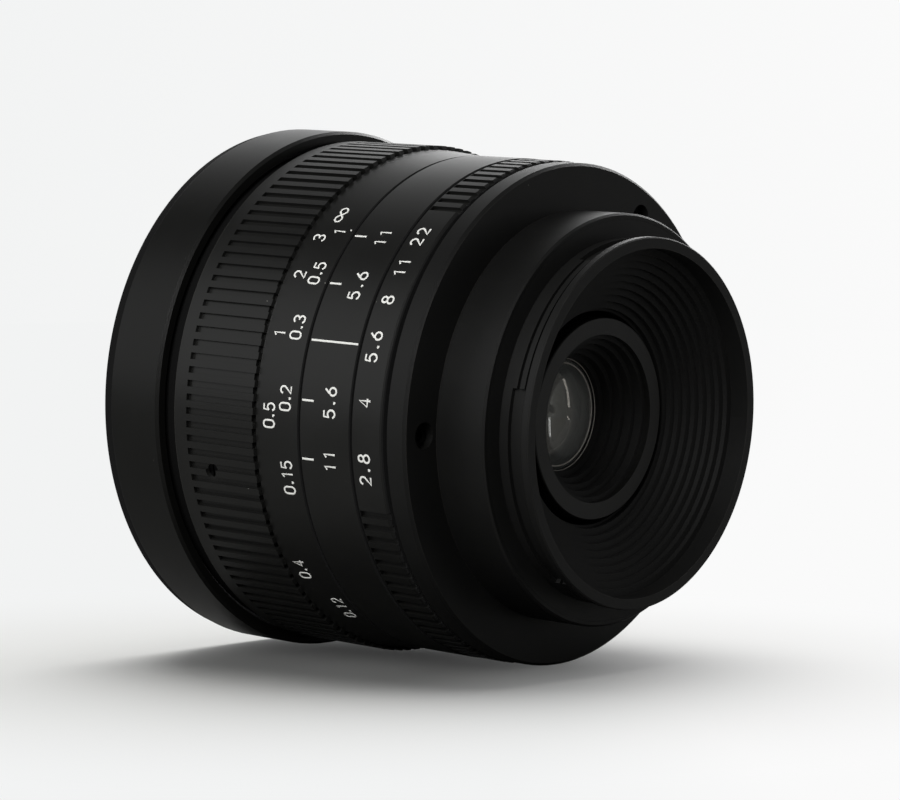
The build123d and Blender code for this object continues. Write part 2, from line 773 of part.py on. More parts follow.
def lens_barrel():
    body = turned([
        (cup_front, cup_bore), (cup_front, cup_radius), (cup_rear, cup_radius),
        (cup_rear, barrel_guide_radius), (barrel_guide_rear, barrel_guide_radius),
        (barrel_guide_rear, relief_radius), (relief_front, relief_radius),
        (relief_front, rear_tube_radius), (rear_tube_rear, rear_tube_radius),
        (rear_tube_rear, cell_thread_radius), (cell_thread_front, cell_thread_radius),
        (cell_thread_front, iris_bore), (iris_front, iris_bore),
        (iris_front, inner_glass_radius + running_gap),
        (inner_group_front, inner_glass_radius + running_gap), (inner_group_front, web_hole),
        (second_glass_seat, web_hole), (second_glass_seat, second_glass_radius + running_gap),
        (front_glass_seat, second_glass_radius + running_gap),
        (front_glass_seat, front_glass_radius + running_gap), (cup_seat, front_glass_radius + running_gap),
        (cup_seat, cup_bore)])
    slot_top = barrel_guide_radius + past
    slot = Pos((key_slot_front + key_slot_rear) / 2, 0, (key_slot_floor + slot_top) / 2) * Box(
        key_slot_rear - key_slot_front, key_width + 2 * running_gap, slot_top - key_slot_floor)
    window = sector(cam_ring_front - window_gap, cam_ring_rear + window_gap, iris_bore - past,
                    rear_tube_radius + past,
                    drive_angle - window_half_angle, drive_angle + window_half_angle)
    hole = axial_rod(cup_front - past, cup_front + hood_screw_depth, hood_screw_radius, hood_screw_circle)
    return body - [around(slot, key_angle), window] - spread(hole, screw_count, 0)


def block_helicoid():
    return tube(block_helicoid_front, block_helicoid_rear, cup_radius, helicoid_thread_bore - running_gap)


# Hood and front rings

def petal_hood():
    body = turned([
        (hood_tip, hood_bore), (hood_tip, hood_radius - edge_break), (hood_tip + edge_break, hood_radius),
        (cup_front, hood_radius), (cup_front, cup_bore), (hood_web_front, cup_bore),
        (hood_web_front, hood_bore)])
    sag_inside = hood_bore - math.sqrt(hood_bore ** 2 - (hood_notch_width / 2) ** 2)
    notch = Box(2 * hood_notch_depth, hood_notch_width, 2 * (hood_wall + sag_inside + past))
    notch = fillet(notch.edges().filter_by(Axis.Z).group_by(Axis.X)[-1], hood_notch_round)
    notch = Pos(hood_tip, 0, hood_radius) * notch
    body = body - spread(notch, hood_notches, 180 / hood_notches)
    shank = axial_rod(hood_web_front - past, cup_front + past, hood_screw_radius + slip_gap,
                      hood_screw_circle)
    sink = axial_rod(hood_web_front - past, hood_web_front + hood_head_height, hood_head_radius + slip_gap,
                     hood_screw_circle)
    return body - spread(shank + sink, screw_count, 0)


def hood_screws():
    seat = hood_web_front + hood_head_height
    head = axial_rod(hood_web_front + slip_gap, seat, hood_head_radius, hood_screw_circle)
    cross = Pos(hood_web_front, 0, hood_screw_circle) * (
        Box(hood_head_height, cross_slot, hood_head_radius)
        + Box(hood_head_height, hood_head_radius, cross_slot))
    tip = cup_front + hood_screw_depth - screw_tip_gap
    shank = axial_rod(seat, tip, hood_screw_radius, hood_screw_circle)
    return group(spread(head - cross + shank, screw_count, 0))


def front_trim_ring():
    outer = hood_bore - trim_gap
    inner_front = hood_web_front - trim_thickness
    return turned([(hood_web_front, trim_bore), (inner_front, trim_bore), (inner_front - trim_rise, outer),
                   (hood_web_front, outer)])


def front_retaining_ring():
    vertex = front_glass_land - sag(front_glass_curves[0], front_glass_clear[0])
    lip_rear = vertex + sag(front_glass_curves[0], retaining_lip_radius) - retaining_glass_gap
    return turned([
        (retaining_front, cup_bore), (retaining_front, cup_bore - retaining_wall),
        (lip_rear - retaining_lip_edge, retaining_lip_radius), (lip_rear, retaining_lip_radius),
        (retaining_rear, front_glass_radius + running_gap), (retaining_rear, cup_bore)])


def front_seal():
    return tube(retaining_rear, cup_seat, front_glass_radius + running_gap, cup_bore)


# Cap

def lens_cap():
    body = turned([
        (cap_front, 0), (cap_front, cap_radius - cap_bevel_drop), (cap_front + cap_bevel_length, cap_radius),
        (cap_rear - cap_rear_edge, cap_radius),
        (cap_rear, cap_radius - cap_rear_edge), (cap_rear, cap_bore), (cap_inner_face, cap_bore),
        (cap_inner_face, 0)])
    rim = body.edges().filter_by(GeomType.CIRCLE).group_by(Axis.X)[0].sort_by(lambda edge: edge.radius)[-1]
    return fillet(rim, cap_round)


def cap_liner():
    return tube(cap_inner_face + liner_inset, cap_rear - liner_inset, cap_bore - liner_thickness, cap_bore)


# Optics

def front_glass():
    lands = (front_glass_land, front_glass_seat)
    return glass(lands, front_glass_curves, front_glass_clear, front_glass_radius)


def front_spacer():
    rear = front_glass_seat + front_spacer_length
    return tube(front_glass_seat, rear, front_spacer_bore, second_glass_radius)


def second_glass():
    return glass((second_glass_seat - second_glass_edge, second_glass_seat), second_glass_curves,
                 second_glass_clear, second_glass_radius)


def inner_glass_a():
    return glass((inner_group_front, inner_cement_land), inner_curves[0:2], (inner_clear, inner_clear),
                 inner_glass_radius)


def inner_glass_b():
    return glass((inner_cement_land, inner_rear_land), inner_curves[1:3], (inner_clear, inner_clear),
                 inner_glass_radius)


def inner_spacer():
    return tube(inner_rear_land, inner_spacer_rear, inner_glass_radius - inner_ring_wall, inner_glass_radius)


def inner_glass_c():
    return glass((inner_spacer_rear, inner_last_face), (inner_curves[3], 0), (inner_clear, inner_clear),
                 inner_glass_radius)


def inner_retaining_ring():
    return tube(inner_last_face, iris_front, inner_glass_radius - inner_ring_wall, inner_glass_radius)


def rear_doublet_a():
    return glass((cell_lip_rear, doublet_cement_land), doublet_curves[0:2], (doublet_clear, doublet_clear),
                 rear_glass_radius)


def rear_doublet_b():
    return glass((doublet_cement_land, doublet_land), doublet_curves[1:3], (doublet_clear, doublet_clear),
                 rear_glass_radius)


def rear_spacer():
    return tube(doublet_land, last_glass_land, rear_spacer_bore, rear_glass_radius)


def rear_glass():
    return glass((last_glass_land, cell_bore_front), rear_glass_curves, (rear_clear, rear_clear),
                 rear_glass_radius)


def rear_cell():
    thread = cell_thread_radius - slip_gap
    glass_bore = rear_glass_radius + slip_gap
    collar_rear = rear_tube_rear + cell_collar_gap
    return turned([
        (cell_thread_front, cell_lip_hole), (cell_thread_front, thread), (collar_rear, thread),
        (collar_rear, cell_radius), (cell_rear - edge_break, cell_radius),
        (cell_rear, cell_radius - edge_break),
        (cell_rear, cell_bore), (cell_bore_front, cell_bore), (cell_bore_front, glass_bore),
        (cell_lip_rear, glass_bore), (cell_lip_rear, cell_lip_hole)])


def rear_retaining_ring():
    """A black ring that holds the rear glass and narrows to it in steps."""
    level = cell_rear - cell_retainer_sink
    step_axial = (level - cell_bore_front) / cell_retainer_steps
    step_radial = (cell_retainer_mouth - cell_retainer_hole) / (cell_retainer_steps - 1)
    points = [(cell_bore_front, cell_bore), (level, cell_bore)]
    for k in range(cell_retainer_steps):
        radius = cell_retainer_mouth - step_radial * k
        points += [(level, radius), (level - step_axial, radius)]
        level -= step_axial
    return turned(points)


# Iris: its plane has +Z as first axis and -Y as second, so that angles run as they do round the lens

def iris_plane(x):
    return Plane(origin=(x, 0, 0), x_dir=(0, 0, 1), z_dir=(1, 0, 0))


def on_circle(radius, degrees):
    t = math.radians(degrees)
    return (radius * math.cos(t), radius * math.sin(t))


def iris_base():
    rear = iris_front + iris_base_thickness
    plate = tube(iris_front, rear, iris_open_radius + iris_base_lip, iris_bore - slip_gap)
    hole = axial_rod(iris_front - past, rear + past, pivot_radius + running_gap, pivot_circle)
    return plate - spread(hole, blade_count, 0)


def blade_outline():
    """A blade turned fully open: its pivot is on the first axis, and an arm carries the drive pin."""
    inner = iris_open_radius
    outer = iris_open_radius + blade_width
    head = blade_head_angle
    tail = blade_tail_angle
    middle = (head + tail) / 2
    crescent = make_face([
        ThreePointArc(on_circle(inner, head), on_circle(inner, middle), on_circle(inner, tail)),
        Line(on_circle(inner, tail), on_circle(outer, tail)),
        ThreePointArc(on_circle(outer, tail), on_circle(outer, middle), on_circle(outer, head)),
        Line(on_circle(outer, head), on_circle(inner, head))])
    stem_inner = outer - stem_overlap
    stem = Pos((stem_inner + pivot_circle) / 2, 0) * Rectangle(
        pivot_circle - stem_inner, 2 * pivot_ear_radius)
    ear = Pos(pivot_circle, 0) * Circle(pivot_ear_radius)
    arm = Pos(pivot_circle, -arm_length / 2) * Rectangle(2 * arm_half_width, arm_length)
    tip = Pos(pivot_circle, -arm_length) * Circle(arm_half_width)
    return crescent + stem + ear + arm + tip


def pin_place(turn):
    """Where the first blade's drive pin stands when the blade has turned this far from fully open."""
    t = math.radians(turn)
    return (pivot_circle + arm_length * math.sin(t), -arm_length * math.cos(t))


def iris_blade(k):
    """A thin steel blade with a pivot pin towards the base and a drive pin towards the cam ring."""
    level = blades_front + blade_pitch * k
    pivot_tip = iris_front + pin_inset
    pin_tip = cam_ring_rear - pin_inset
    flat = extrude(iris_plane(level) * blade_outline(), blade_thickness)
    pivot = extrude(iris_plane(pivot_tip) * (Pos(pivot_circle, 0) * Circle(pivot_radius)), level - pivot_tip)
    pin = extrude(iris_plane(level) * (Pos(*pin_place(0)) * Circle(blade_pin_radius)), pin_tip - level)
    blade = flat + pivot + pin
    stored = Pos(0, 0, pivot_circle) * Rot(blade_stored, 0, 0) * Pos(0, 0, -pivot_circle) * blade
    return around(stored, 360 * k / blade_count)


def cam_path(ring_turn):
    """Where the drive pin stands on the cam ring, so that blade and ring turn in a constant ratio."""
    across, along = pin_place(blade_stored + blade_ratio * ring_turn)
    t = math.radians(-ring_turn)
    return (across * math.cos(t) - along * math.sin(t), across * math.sin(t) + along * math.cos(t))


def cam_slot():
    first = -aperture_to_open - slot_spare
    span = aperture_to_small + slot_spare - first
    stations = [cam_path(first + span * i / (slot_stations - 1)) for i in range(slot_stations)]
    half = blade_pin_radius + slot_gap
    outline = trace(Spline(*[(across, along, 0) for across, along in stations]), 2 * half)
    for end in (stations[0], stations[-1]):
        outline = outline + Pos(*end) * Circle(half)
    return extrude(iris_plane(cam_ring_front - past) * outline, cam_ring_thickness + 2 * past)


def fork_screw_sides():
    return (-fork_screw_spread / 2, fork_screw_spread / 2)


def iris_cam_ring():
    ring = tube(cam_ring_front, cam_ring_rear, cam_ring_bore, iris_bore - running_gap)
    root = iris_bore - cam_ring_rim
    tongue = Pos((cam_ring_front + cam_ring_rear) / 2, 0, (root + fork_outer) / 2) * Box(
        cam_ring_thickness, tongue_width, fork_outer - root)
    hole = axial_rod(cam_ring_front - past, cam_ring_rear + past, fork_screw_radius, fork_middle)
    holes = [around(Pos(0, side, 0) * hole, drive_angle) for side in fork_screw_sides()]
    return ring + around(tongue, drive_angle) - holes - spread(cam_slot(), blade_count, 0)


def iris_fork():
    bar = Pos((cam_ring_rear + fork_rear) / 2, 0, fork_middle) * Box(
        fork_rear - cam_ring_rear, fork_width, fork_thickness)
    slot_length = fork_rear - fork_slot_front + past
    slot = Pos(fork_slot_front + slot_length / 2, 0, fork_middle) * Box(
        slot_length, 2 * (drive_pin_radius + running_gap), fork_thickness + past)
    hole = axial_rod(cam_ring_rear - past, cam_ring_rear + fork_screw_depth, fork_screw_radius, fork_middle)
    holes = [Pos(0, side, 0) * hole for side in fork_screw_sides()]
    return around(bar - slot - holes, drive_angle)


def iris_fork_screws():
    head = axial_rod(cam_ring_front - fork_head_height, cam_ring_front, fork_head_radius, fork_middle)
    tip = cam_ring_rear + fork_screw_depth - screw_tip_gap
    shank = axial_rod(cam_ring_front, tip, fork_screw_radius, fork_middle)
    return group([around(Pos(0, side, 0) * (head + shank), drive_angle) for side in fork_screw_sides()])


def iris_retaining_ring():
    return tube(iris_retainer_front, cell_thread_front, iris_retainer_hole, iris_bore - slip_gap)


pieces = [
    rear_cover, cover_screws, bayonet_ring, bayonet_screws, rear_baffle, main_barrel, guide_key,
    guide_key_screws,
    focus_retaining_ring, index_ring, index_ring_screws, focus_ring, focus_helicoid, focus_set_screws,
    aperture_ring, aperture_drive_pin, lens_barrel, block_helicoid, petal_hood, hood_screws, front_trim_ring,
    front_retaining_ring, front_seal, lens_cap, cap_liner, front_glass, front_spacer, second_glass,
    inner_glass_a, inner_glass_b, inner_spacer, inner_glass_c, inner_retaining_ring, iris_base, iris_cam_ring,
    iris_fork, iris_fork_screws, iris_retaining_ring, rear_cell, rear_doublet_a, rear_doublet_b, rear_spacer,
    rear_glass, rear_retaining_ring]

os.makedirs("parts", exist_ok=True)
for piece in pieces:
    export_step(piece(), f"parts/{piece.__name__}.step")
for k in range(blade_count):
    export_step(iris_blade(k), f"parts/iris_blade_{k + 1}.step")
print(len(pieces) + blade_count, "nodes, blade ratio", round(blade_ratio, 6))
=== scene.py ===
import math

import bpy
from mathutils import Matrix, Vector


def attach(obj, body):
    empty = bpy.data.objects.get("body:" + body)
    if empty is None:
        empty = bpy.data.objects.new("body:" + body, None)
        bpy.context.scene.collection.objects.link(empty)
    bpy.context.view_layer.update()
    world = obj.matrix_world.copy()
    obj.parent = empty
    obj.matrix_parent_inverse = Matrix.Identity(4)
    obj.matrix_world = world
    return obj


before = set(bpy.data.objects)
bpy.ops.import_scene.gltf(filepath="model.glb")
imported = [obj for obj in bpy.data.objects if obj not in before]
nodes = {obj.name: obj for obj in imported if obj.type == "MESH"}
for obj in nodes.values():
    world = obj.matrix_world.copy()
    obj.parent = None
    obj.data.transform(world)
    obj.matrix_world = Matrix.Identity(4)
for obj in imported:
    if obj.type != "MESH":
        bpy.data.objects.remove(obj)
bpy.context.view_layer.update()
mm = 0.001

bpy.context.scene.view_settings.view_transform = "Standard"

# the photo's viewpoint: the lens lies on its cap's rim and its rear flange
camera = {"focal": 141.104, "sensor": 36.0, "nearest": 0.01,
          "place": (0.253019, -0.333290, 0.035295),
          "right": (0.76373824, 0.64383373, 0.04671223),
          "up": (-0.08752023, 0.03158106, 0.99566201),
          "back": (0.63956557, -0.76451342, 0.08046814)}


def placeCamera(c):
    cameraData = bpy.data.cameras.new("photoCamera")
    cameraData.lens = c["focal"]
    cameraData.sensor_width = c["sensor"]
    cameraData.clip_start = c["nearest"]
    cameraObject = bpy.data.objects.new("photoCamera", cameraData)
    turn = Matrix((c["right"], c["up"], c["back"])).transposed().to_4x4()
    cameraObject.matrix_world = Matrix.Translation(c["place"]) @ turn
    bpy.context.scene.collection.objects.link(cameraObject)
    bpy.context.scene.camera = cameraObject


placeCamera(camera)
print("camera placed")


def linear(hexColour):
    channels = [int(hexColour[i:i + 2], 16) / 255 for i in (1, 3, 5)]
    curved = [c / 12.92 if c <= 0.04045 else ((c + 0.055) / 1.055) ** 2.4 for c in channels]
    return (*curved, 1.0)


def addNode(tree, kind, settings=None, values=None, links=None):
    node = tree.nodes.new(kind)
    for name, value in (settings or {}).items():
        setattr(node, name, value)
    for socket, value in (values or {}).items():
        node.inputs[socket].default_value = value
    for socket, source in (links or {}).items():
        tree.links.new(source, node.inputs[socket])
    return node


def newMaterial(name, **shader):
    # a material with one shader, and the place on the piece that its patterns follow
    material = bpy.data.materials.new(name)
    material.use_nodes = True
    tree = material.node_tree
    tree.nodes.clear()
    surface = addNode(tree, "ShaderNodeBsdfPrincipled", values=shader)
    addNode(tree, "ShaderNodeOutputMaterial", links={"Surface": surface.outputs[0]})
    place = addNode(tree, "ShaderNodeTexCoord").outputs["Object"]
    return material, tree, surface, place


def latheCoordinates(tree, place):
    # x along the optical axis and y the radius, because everything here was turned on a lathe
    parts = addNode(tree, "ShaderNodeSeparateXYZ", links={0: place})
    across = addNode(tree, "ShaderNodeCombineXYZ", links={"Y": parts.outputs["Y"], "Z": parts.outputs["Z"]})
    radius = addNode(tree, "ShaderNodeVectorMath", {"operation": "LENGTH"}, links={0: across.outputs[0]})
    lathe = addNode(tree, "ShaderNodeCombineXYZ",
                    links={"X": parts.outputs["X"], "Y": radius.outputs["Value"]})
    return lathe.outputs[0], parts.outputs["X"]


# black-dyed anodised aluminium, glass-bead blasted and then turned bright at its edges: a soft satin black
# with a grain of about 0.15 mm, faint lathe rings, paler corners that are partly rubbed wear and partly
# painted highlight, near-black bands of painted shade beside the seams, and a few specks of dust; sizes in mm
anodised = {"black": "#0F0F0E", "patch": "#171716", "rubbed": "#3E3D3A", "dust": "#8C8A83", "seamShade": "#050505",
            "roughness": 0.32, "roughnessSpread": 0.07, "specular": 0.42,
            "patchSize": 9.09, "grain": 0.16, "grainDepth": 0.010, "ringStep": 0.22, "ringDepth": 0.004,
            "dustStep": 2.4, "dustSize": 0.072, "rubbedWidth": 0.108, "seamWidth": 0.14}


def anodisedBlack(name, edges=(), paintedShadeSeams=(), **changes):
    s = {**anodised, **changes}
    material, tree, surface, place = newMaterial(
        name, **{"Roughness": s["roughness"], "Specular IOR Level": s["specular"]})
    lathe, along = latheCoordinates(tree, place)
    grain = addNode(tree, "ShaderNodeTexNoise",
                    values={"Scale": 1 / (s["grain"] * mm), "Detail": 3.0, "Roughness": 0.6},
                    links={"Vector": place})
    rings = addNode(tree, "ShaderNodeTexNoise", values={"Scale": 1 / (s["ringStep"] * mm), "Detail": 2.0},
                    links={"Vector": lathe})
    patches = addNode(tree, "ShaderNodeTexNoise",
                      values={"Scale": 1 / (s["patchSize"] * mm), "Detail": 4.0, "Roughness": 0.65},
                      links={"Vector": place})
    dye = addNode(tree, "ShaderNodeMix", {"data_type": "RGBA"},
                  {6: linear(s["black"]), 7: linear(s["patch"])}, {"Factor": patches.outputs["Fac"]})
    # dust: small dots round the points of a sparse voronoi grid
    cells = addNode(tree, "ShaderNodeTexVoronoi", values={"Scale": 1 / (s["dustStep"] * mm)},
                    links={"Vector": place})
    size = addNode(tree, "ShaderNodeMath", {"operation": "MULTIPLY"}, {1: s["dustSize"] / s["dustStep"]},
                   {0: cells.outputs["Color"]})
    speck = addNode(tree, "ShaderNodeMath", {"operation": "LESS_THAN"},
                    links={0: cells.outputs["Distance"], 1: size.outputs[0]})
    colour = addNode(tree, "ShaderNodeMix", {"data_type": "RGBA"}, {7: linear(s["dust"])},
                     {"Factor": speck.outputs[0], 6: dye.outputs[2]}).outputs[2]
    # paler corners at the places and radii of the turned edges: partly rubbed wear, partly painted highlight
    for edgePlace, edgeRadius in edges:
        offset = addNode(tree, "ShaderNodeVectorMath", {"operation": "DISTANCE"},
                         {1: (edgePlace * mm, edgeRadius * mm, 0)}, {0: lathe})
        width = addNode(tree, "ShaderNodeMath", {"operation": "MULTIPLY"}, {1: s["rubbedWidth"] * mm},
                        {0: patches.outputs["Fac"]})
        nearEdge = addNode(tree, "ShaderNodeMapRange", {"interpolation_type": "SMOOTHSTEP"},
                           {"To Min": 1.0, "To Max": 0.0},
                           {"Value": offset.outputs["Value"], "From Max": width.outputs[0]})
        colour = addNode(tree, "ShaderNodeMix", {"data_type": "RGBA"}, {7: linear(s["rubbed"])},
                         {"Factor": nearEdge.outputs[0], 6: colour}).outputs[2]
    gloss = addNode(tree, "ShaderNodeMapRange",
                    values={"To Min": s["roughness"] - s["roughnessSpread"],
                            "To Max": s["roughness"] + s["roughnessSpread"]},
                    links={"Value": patches.outputs["Fac"]}).outputs[0]
    # bands of painted shade, near-black and matt: the edges beside a seam between two rings, and the cap's
    # chamfer
    for seamPlace in paintedShadeSeams:
        inShadeBand = addNode(tree, "ShaderNodeMath", {"operation": "COMPARE"},
                         {1: seamPlace * mm, 2: s["seamWidth"] * mm}, {0: along}).outputs[0]
        colour = addNode(tree, "ShaderNodeMix", {"data_type": "RGBA"}, {7: linear(s["seamShade"])},
                         {"Factor": inShadeBand, 6: colour}).outputs[2]
        gloss = addNode(tree, "ShaderNodeMath", {"operation": "MAXIMUM"},
                        links={0: gloss, 1: inShadeBand}).outputs[0]
    tree.links.new(colour, surface.inputs["Base Color"])
    tree.links.new(gloss, surface.inputs["Roughness"])
    ringBump = addNode(tree, "ShaderNodeBump", values={"Distance": s["ringDepth"] * mm},
                       links={"Height": rings.outputs["Fac"]})
    grainBump = addNode(tree, "ShaderNodeBump", values={"Distance": s["grainDepth"] * mm},
                        links={"Height": grain.outputs["Fac"], "Normal": ringBump.outputs[0]})
    tree.links.new(grainBump.outputs[0], surface.inputs["Normal"])
    return material


# flat black paint against stray light, sprayed on turned steps: almost no gloss, and a film that is finely
# pebbled; sizes in mm
flatPaint = {"black": "#0D0D0D", "worn": "#181817", "roughness": 0.62, "specular": 0.35,
             "film": 0.12, "filmDepth": 0.012}


def flatBlackPaint(name, **changes):
    s = {**flatPaint, **changes}
    material, tree, surface, place = newMaterial(
        name, **{"Roughness": s["roughness"], "Specular IOR Level": s["specular"]})
    film = addNode(tree, "ShaderNodeTexNoise", values={"Scale": 1 / (s["film"] * mm), "Detail": 3.0},
                   links={"Vector": place})
    colour = addNode(tree, "ShaderNodeMix", {"data_type": "RGBA"},
                     {6: linear(s["black"]), 7: linear(s["worn"])}, {"Factor": film.outputs["Fac"]})
    bump = addNode(tree, "ShaderNodeBump", values={"Distance": s["filmDepth"] * mm},
                   links={"Height": film.outputs["Fac"]})
    tree.links.new(colour.outputs[2], surface.inputs["Base Color"])
    tree.links.new(bump.outputs[0], surface.inputs["Normal"])
    return material


# optical glass, polished, with an anti-reflection film: clear, with faint reflections that turn violet and
# amber, and a thin haze in patches of 4 mm that softens them; the film's thickness in nanometres
coated = {"tint": "#F4F7F5", "clear": 1.0, "ior": 1.62, "filmThickness": 138.0, "filmIor": 1.38,
          "polish": 0.012, "hazeSize": 3.846, "hazeFrom": 0.45, "leastHaze": 0.006, "mostHaze": 0.05}


def coatedGlass(name, **changes):
    s = {**coated, **changes}
    material, tree, surface, place = newMaterial(
        name, **{"Base Color": linear(s["tint"]), "Roughness": s["polish"], "IOR": s["ior"],
                 "Transmission Weight": s["clear"], "Thin Film Thickness": s["filmThickness"],
                 "Thin Film IOR": s["filmIor"]})
    haze = addNode(tree, "ShaderNodeTexNoise", values={"Scale": 1 / (s["hazeSize"] * mm), "Detail": 3.0},
                   links={"Vector": place})
    smear = addNode(tree, "ShaderNodeMapRange",
                    values={"From Min": s["hazeFrom"], "To Min": s["leastHaze"], "To Max": s["mostHaze"]},
                    links={"Value": haze.outputs["Fac"]})
    tree.links.new(smear.outputs[0], surface.inputs["Roughness"])
    return material


# bare or blackened metal off the lathe, with stains and fine turning marks: greased brass is warm and half
# bright, blued spring steel is nearly black, and the oxide black of the screws is duller; sizes in mm
turned = {"stainSize": 4.167, "markStep": 0.12, "markDepth": 0.003, "smoother": 0.08, "rougher": 0.1}


def turnedMetal(name, colour, stain, roughness, s=turned):
    material, tree, surface, place = newMaterial(name, **{"Metallic": 1.0, "Roughness": roughness})
    lathe, _ = latheCoordinates(tree, place)
    marks = addNode(tree, "ShaderNodeTexNoise", values={"Scale": 1 / (s["markStep"] * mm), "Detail": 2.0},
                    links={"Vector": lathe})
    stains = addNode(tree, "ShaderNodeTexNoise",
                     values={"Scale": 1 / (s["stainSize"] * mm), "Detail": 5.0, "Roughness": 0.7},
                     links={"Vector": place})
    mixed = addNode(tree, "ShaderNodeMix", {"data_type": "RGBA"}, {6: linear(colour), 7: linear(stain)},
                    {"Factor": stains.outputs["Fac"]})
    gloss = addNode(tree, "ShaderNodeMapRange",
                    values={"To Min": roughness - s["smoother"], "To Max": roughness + s["rougher"]},
                    links={"Value": marks.outputs["Fac"]})
    bump = addNode(tree, "ShaderNodeBump", values={"Distance": s["markDepth"] * mm},
                   links={"Height": marks.outputs["Fac"]})
    tree.links.new(mixed.outputs[2], surface.inputs["Base Color"])
    tree.links.new(gloss.outputs[0], surface.inputs["Roughness"])
    tree.links.new(bump.outputs[0], surface.inputs["Normal"])
    return material


# wool felt: matted fibres that swallow light, with a soft sheen at grazing angles; sizes in mm
felt = {"name": "linerFelt", "dark": "#0B0B0C", "light": "#26262A", "roughness": 0.95, "sheen": 0.4,
        "fibreSize": 0.385, "fibreDepth": 0.1}


def woolFelt(s):
    material, tree, surface, place = newMaterial(
        s["name"], **{"Roughness": s["roughness"], "Sheen Weight": s["sheen"], "Sheen Roughness": 0.5})
    fibres = addNode(tree, "ShaderNodeTexNoise",
                     values={"Scale": 1 / (s["fibreSize"] * mm), "Detail": 6.0, "Roughness": 0.8,
                             "Distortion": 1.5},
                     links={"Vector": place})
    colour = addNode(tree, "ShaderNodeMix", {"data_type": "RGBA"},
                     {6: linear(s["dark"]), 7: linear(s["light"])}, {"Factor": fibres.outputs["Fac"]})
    bump = addNode(tree, "ShaderNodeBump", values={"Distance": s["fibreDepth"] * mm},
                   links={"Height": fibres.outputs["Fac"]})
    tree.links.new(colour.outputs[2], surface.inputs["Base Color"])
    tree.links.new(bump.outputs[0], surface.inputs["Normal"])
    return material


# nitrile rubber, moulded: a dull even black with a trace of bloom; sizes in mm
rubber = {"name": "sealNitrile", "black": "#101011", "bloom": "#1D1D1E", "roughness": 0.7, "specular": 0.4,
          "bloomSize": 1.429, "bloomDepth": 0.02}


def nitrileRubber(s):
    material, tree, surface, place = newMaterial(
        s["name"], **{"Roughness": s["roughness"], "Specular IOR Level": s["specular"]})
    bloom = addNode(tree, "ShaderNodeTexNoise", values={"Scale": 1 / (s["bloomSize"] * mm), "Detail": 4.0},
                    links={"Vector": place})
    colour = addNode(tree, "ShaderNodeMix", {"data_type": "RGBA"},
                     {6: linear(s["black"]), 7: linear(s["bloom"])}, {"Factor": bloom.outputs["Fac"]})
    bump = addNode(tree, "ShaderNodeBump", values={"Distance": s["bloomDepth"] * mm},
                   links={"Height": bloom.outputs["Fac"]})
    tree.links.new(colour.outputs[2], surface.inputs["Base Color"])
    tree.links.new(bump.outputs[0], surface.inputs["Normal"])
    return material


def dress(material, *names):
    for name in names:
        slots = nodes[name].data.materials
        for i in range(len(slots)):
            slots[i] = material


# places in mm: the seams are the gaps between the rings, beside which the edges get bands of painted shade,
# and the cap's is one wide band of painted shade on its chamfer
dress(anodisedBlack("capAnodised", paintedShadeSeams=[-52.85], seamWidth=0.8, black="#0C0C0B", patch="#131312",
                    specular=0.28), "lens_cap")
dress(anodisedBlack("focusRingAnodised", edges=[(-42.8, 31.1), (-42.45, 31.45)], paintedShadeSeams=[-23.3]),
      "focus_ring", "focus_helicoid")
dress(anodisedBlack("indexRingAnodised", paintedShadeSeams=[-23.0, -15.2]), "index_ring")
dress(anodisedBlack("apertureRingAnodised", paintedShadeSeams=[-14.95, -10.35]), "aperture_ring")
dress(anodisedBlack("coverAnodised", edges=[(-7.0, 29.95), (-7.0, 24.7), (-0.1, 24.6)], paintedShadeSeams=[-9.75],
                    black="#0F0F0F", patch="#141413", rubbed="#242321", roughness=0.42, specular=0.26),
      "rear_cover")
dress(anodisedBlack("barrelAnodised"), "main_barrel", "lens_barrel", "front_trim_ring", "rear_cell")
dress(anodisedBlack("bayonetAnodised", edges=[(4.4, 22.1), (4.45, 20.8)], black="#121212", patch="#181817",
                    rubbed="#302F2D", roughness=0.44, specular=0.26, ringDepth=0.006, grainDepth=0.003),
      "bayonet_ring")
dress(flatBlackPaint("baffleFlatBlack"), "rear_baffle")
# the hood's matt black paint made darker still, as painted shade for the slot between the cap's rim and the
# focus ring where the hood shows
dress(flatBlackPaint("hoodFlatBlackPaintedShade", black="#050505", worn="#0B0B0B", roughness=0.75, specular=0.12),
      "petal_hood")
dress(flatBlackPaint("innerFlatBlack"), "rear_retaining_ring", "front_retaining_ring", "front_spacer",
      "inner_spacer", "inner_retaining_ring", "iris_retaining_ring", "rear_spacer")
dress(coatedGlass("frontGlassCoated"), "front_glass")
dress(coatedGlass("rearGlassCoated", filmThickness=40.0, clear=0.9), "rear_glass", "rear_doublet_a",
      "rear_doublet_b")
dress(coatedGlass("innerGlassCoated", filmThickness=150.0), "second_glass", "inner_glass_a", "inner_glass_b",
      "inner_glass_c")
dress(turnedMetal("helicoidBrassGreased", "#B08A4A", "#8A6A34", 0.3), "block_helicoid",
      "focus_retaining_ring", "guide_key", "iris_base", "iris_cam_ring", "iris_fork")
dress(turnedMetal("bladeSteelBlued", "#2A2B2E", "#1E1F22", 0.38), *[f"iris_blade_{k}" for k in range(1, 9)])
dress(turnedMetal("screwSteelOxideBlack", "#232324", "#151516", 0.4), "aperture_drive_pin", "bayonet_screws",
      "cover_screws", "focus_set_screws", "guide_key_screws", "hood_screws", "index_ring_screws",
      "iris_fork_screws")
dress(nitrileRubber(rubber), "front_seal")
dress(woolFelt(felt), "cap_liner")
print("CAD pieces dressed")


